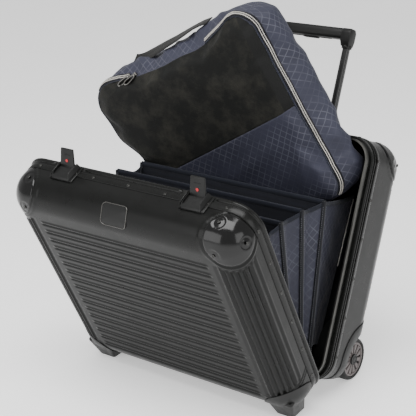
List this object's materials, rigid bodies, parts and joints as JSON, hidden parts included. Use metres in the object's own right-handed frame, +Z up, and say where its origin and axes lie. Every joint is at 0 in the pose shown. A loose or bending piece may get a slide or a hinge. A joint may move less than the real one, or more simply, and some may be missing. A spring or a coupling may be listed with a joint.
{
  "type": "pilot rolling flight case",
  "caption": "Two ribbed clamshell halves hinged at the bottom, standing open on wheels and feet, with a fan file, a soft zip pouch and a telescopic handle.",
  "frame": {"origin": "bottom centre of the bounding box of the open case, on the floor", "axes": "+Z up, +X to the case's right seen from the front half, +Y towards the back of the case; the file, the wheels and the handle are symmetric about a plane of constant X, and the case stands leaning back 20 degrees with its front half swung open towards -Y"},
  "size_m": [0.462, 0.5339, 0.6117],
  "materials": {
    "shell": "near-black satin anodised sheet",
    "frame": "near-black satin extrusion",
    "polished_cap": "polished black",
    "moulded_trim": "fine-grained black moulding",
    "lining": "black woven lining",
    "steel": "plain brushed steel",
    "pole": "black anodised tube",
    "tyre": "dark satin rubber",
    "rim": "warm grey satin moulding",
    "navy_fabric": "dark navy woven fabric over stiff board",
    "lattice_fabric": null,
    "webbing": "black ribbed webbing",
    "zip_metal": "bright nickel"
  },
  "bodies": {
    "root": {"rear_shell": "shell", "rear_frame": "frame", "rear_lining": "lining", "rear_corner_cap_left": "polished_cap", "rear_corner_cap_right": "polished_cap", "hinge_leaf_rear_left": "steel", "hinge_leaf_rear_right": "steel", "hinge_pin_left": "steel", "hinge_pin_right": "steel", "wheel_housing_left": "moulded_trim", "wheel_housing_right": "moulded_trim", "wheel_axle_left": "steel", "wheel_axle_right": "steel", "latch_strike_left": "moulded_trim", "latch_strike_right": "moulded_trim", "handle_sleeve_left": "steel", "handle_sleeve_right": "steel", "handle_sleeve_bridge": "steel", "handle_bezel": "moulded_trim", "file_base": "navy_fabric", "file_rear_panel": "navy_fabric", "file_gusset_left": "lattice_fabric", "file_gusset_right": "lattice_fabric"},
    "lid": {"front_shell": "shell", "front_frame": "frame", "front_lining": "lining", "front_corner_cap_left": "polished_cap", "front_corner_cap_right": "polished_cap", "hinge_leaf_front_left": "steel", "hinge_leaf_front_right": "steel", "foot_left": "moulded_trim", "foot_right": "moulded_trim", "latch_body_left": "moulded_trim", "latch_body_right": "moulded_trim", "badge": "polished_cap"},
    "lever_left": {"latch_lever_left": "moulded_trim"},
    "lever_right": {"latch_lever_right": "moulded_trim"},
    "wheel_left": {"tyre_left": "tyre", "wheel_rim_left": "rim", "wheel_cap_left": "moulded_trim"},
    "wheel_right": {"tyre_right": "tyre", "wheel_rim_right": "rim", "wheel_cap_right": "moulded_trim"},
    "divider_rear_board": {"divider_rear": "navy_fabric"},
    "divider_middle_board": {"divider_middle": "navy_fabric"},
    "divider_front_board": {"divider_front": "navy_fabric"},
    "handle_stage": {"handle_stage_left": "pole", "handle_stage_right": "pole"},
    "handle": {"handle_pole_left": "pole", "handle_pole_right": "pole", "handle_grip": "moulded_trim"},
    "button": {"handle_button": "moulded_trim"},
    "pouch": {"pouch_body": "lattice_fabric", "pouch_strap": "webbing", "zip_pull_a": "zip_metal", "zip_pull_b": "zip_metal"}
  },
  "joints": [
    {"name": "lid_hinge", "type": "hinge", "parent": "root", "child": "lid", "pos_m": [0.0149, -0.02624, 0.03347], "axis": [1, 0, 0], "range_deg": [-48.5, 0], "deforming": ["file_gusset_left", "file_gusset_right"]},
    {"name": "divider_rear_hinge", "type": "hinge", "parent": "root", "child": "divider_rear_board", "pos_m": [0.0149, -0.0206, 0.049], "axis": [1, 0, 0], "range_deg": [-12.35, 0]},
    {"name": "divider_middle_hinge", "type": "hinge", "parent": "divider_rear_board", "child": "divider_middle_board", "pos_m": [0.0149, -0.0394, 0.0558], "axis": [1, 0, 0], "range_deg": [-9.25, 0]},
    {"name": "divider_front_hinge", "type": "hinge", "parent": "divider_middle_board", "child": "divider_front_board", "pos_m": [0.0149, -0.0582, 0.0627], "axis": [1, 0, 0], "range_deg": [-8.45, 0]},
    {"name": "pouch_swing", "type": "hinge", "parent": "root", "child": "pouch", "pos_m": [-0.0311, -0.1976, 0.2725], "axis": [0.8103, -0.5602, 0.172], "range_deg": [-45, 0], "deforming": ["pouch_body", "pouch_strap", "zip_pull_a", "zip_pull_b"]},
    {"name": "wheel_left_spin", "type": "hinge", "parent": "root", "child": "wheel_left", "pos_m": [-0.17, 0.08816, 0.03493], "axis": [1, 0, 0], "continuous": true},
    {"name": "wheel_right_spin", "type": "hinge", "parent": "root", "child": "wheel_right", "pos_m": [0.2, 0.08816, 0.03493], "axis": [1, 0, 0], "continuous": true},
    {"name": "handle_stage_slide", "type": "slide", "parent": "root", "child": "handle_stage", "axis": [0, 0.342, 0.9397], "range_m": [0, 0.3]},
    {"name": "handle_slide", "type": "slide", "parent": "handle_stage", "child": "handle", "axis": [0, 0.342, 0.9397], "range_m": [-0.145, 0.13]},
    {"name": "button_press", "type": "slide", "parent": "handle", "child": "button", "axis": [0, -0.342, -0.9397], "range_m": [0, 0.0025], "stiffness_N_per_m": 400},
    {"name": "lever_left_turn", "type": "hinge", "parent": "lid", "child": "lever_left", "pos_m": [-0.1066, -0.2267, 0.3758], "axis": [1, 0, 0], "range_deg": [0, 118]},
    {"name": "lever_right_turn", "type": "hinge", "parent": "lid", "child": "lever_right", "pos_m": [0.1364, -0.2267, 0.3758], "axis": [1, 0, 0], "range_deg": [0, 118]}
  ],
  "couplings": [
    {"joint": "divider_rear_hinge", "follows": "lid_hinge", "ratio": 0.2536},
    {"joint": "divider_middle_hinge", "follows": "lid_hinge", "ratio": 0.1897},
    {"joint": "divider_front_hinge", "follows": "lid_hinge", "ratio": 0.1732},
    {"joint": "pouch_swing", "follows": "lid_hinge", "ratio": 0.9271}
  ]
}
